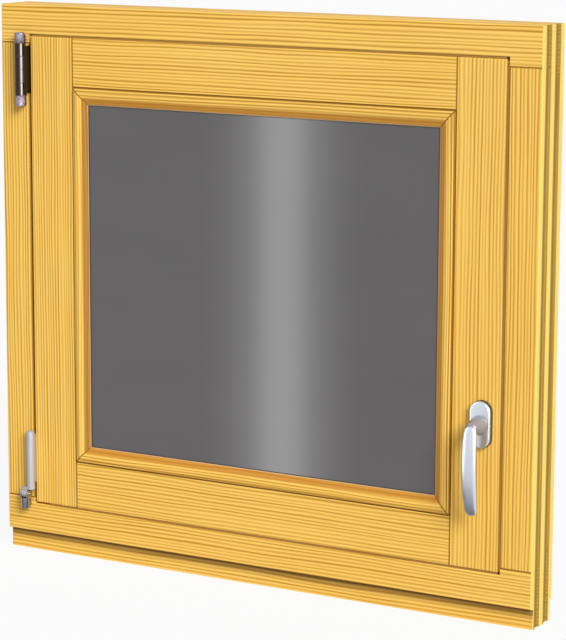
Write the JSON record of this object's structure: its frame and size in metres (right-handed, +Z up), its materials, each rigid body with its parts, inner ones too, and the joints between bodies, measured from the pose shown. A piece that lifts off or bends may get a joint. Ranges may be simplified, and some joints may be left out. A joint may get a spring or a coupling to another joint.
{
  "type": "tilt and turn window",
  "caption": "Wooden tilt and turn window: a rebated outer frame on a base strip, a glazed sash on a tilting corner hinge and stay arm, and a lever handle that sets it.",
  "frame": {"origin": "middle of the base strip's underside, at mid width and mid depth of the outer frame", "axes": "+X to the right seen from the room, +Y through the wall to the outside, +Z up"},
  "size_m": [0.87, 0.131, 0.825],
  "materials": {
    "pine": "clear satin varnish",
    "glass": "polished",
    "spacer": "mill",
    "light_seal": "matte",
    "dark_seal": "matte",
    "aluminium_rail": "anodised",
    "zinc_steel": "zinc plated",
    "dark_chrome": "dark polished",
    "bright_steel": "satin",
    "light_grey_metal": "satin",
    "satin_aluminium": "satin anodised"
  },
  "bodies": {
    "frame": {"frame_head": "pine", "frame_sill_rail": "pine", "frame_left_jamb": "pine", "frame_right_jamb": "pine", "sill_base": "pine", "frame_gasket": "dark_seal", "drip_rail": "aluminium_rail", "lock_keeps": "zinc_steel", "top_hinge_bearing": "dark_chrome", "top_hinge_pin": "bright_steel", "corner_bearing": "zinc_steel"},
    "corner_swivel": {"corner_swivel": "bright_steel"},
    "sash": {"sash_left_stile": "pine", "sash_right_stile": "pine", "sash_top_rail": "pine", "sash_bottom_rail": "pine", "bead_top": "pine", "bead_bottom": "pine", "bead_left": "pine", "bead_right": "pine", "glass_inner_pane": "glass", "glass_outer_pane": "glass", "glass_spacer": "spacer", "glazing_seals": "light_seal", "lock_faceplate": "zinc_steel", "corner_hinge_sleeve": "light_grey_metal", "handle_rosette": "satin_aluminium"},
    "stay": {"stay_hinge": "dark_chrome", "stay_arm": "zinc_steel"},
    "handle": {"handle_lever": "satin_aluminium"}
  },
  "joints": [
    {"name": "sash_turn", "type": "hinge", "parent": "frame", "child": "corner_swivel", "pos_m": [-0.395, -0.045, 0.09], "axis": [0, 0, -1], "range_deg": [0, 90]},
    {"name": "sash_tilt", "type": "hinge", "parent": "corner_swivel", "child": "sash", "pos_m": [-0.395, -0.045, 0.09], "axis": [-1, 0, 0], "range_deg": [-8, 0]},
    {"name": "stay_swing", "type": "hinge", "parent": "corner_swivel", "child": "stay", "pos_m": [-0.395, -0.045, 0.727], "axis": [0, 0, -1], "range_deg": [0, 15.6]},
    {"name": "handle_turn", "type": "hinge", "parent": "sash", "child": "handle", "pos_m": [0.356, -0.042, 0.282], "axis": [0, -1, 0], "range_deg": [-180, 0]}
  ],
  "couplings": [
    {"joint": "stay_swing", "follows": "sash_tilt", "ratio": -1.934}
  ]
}
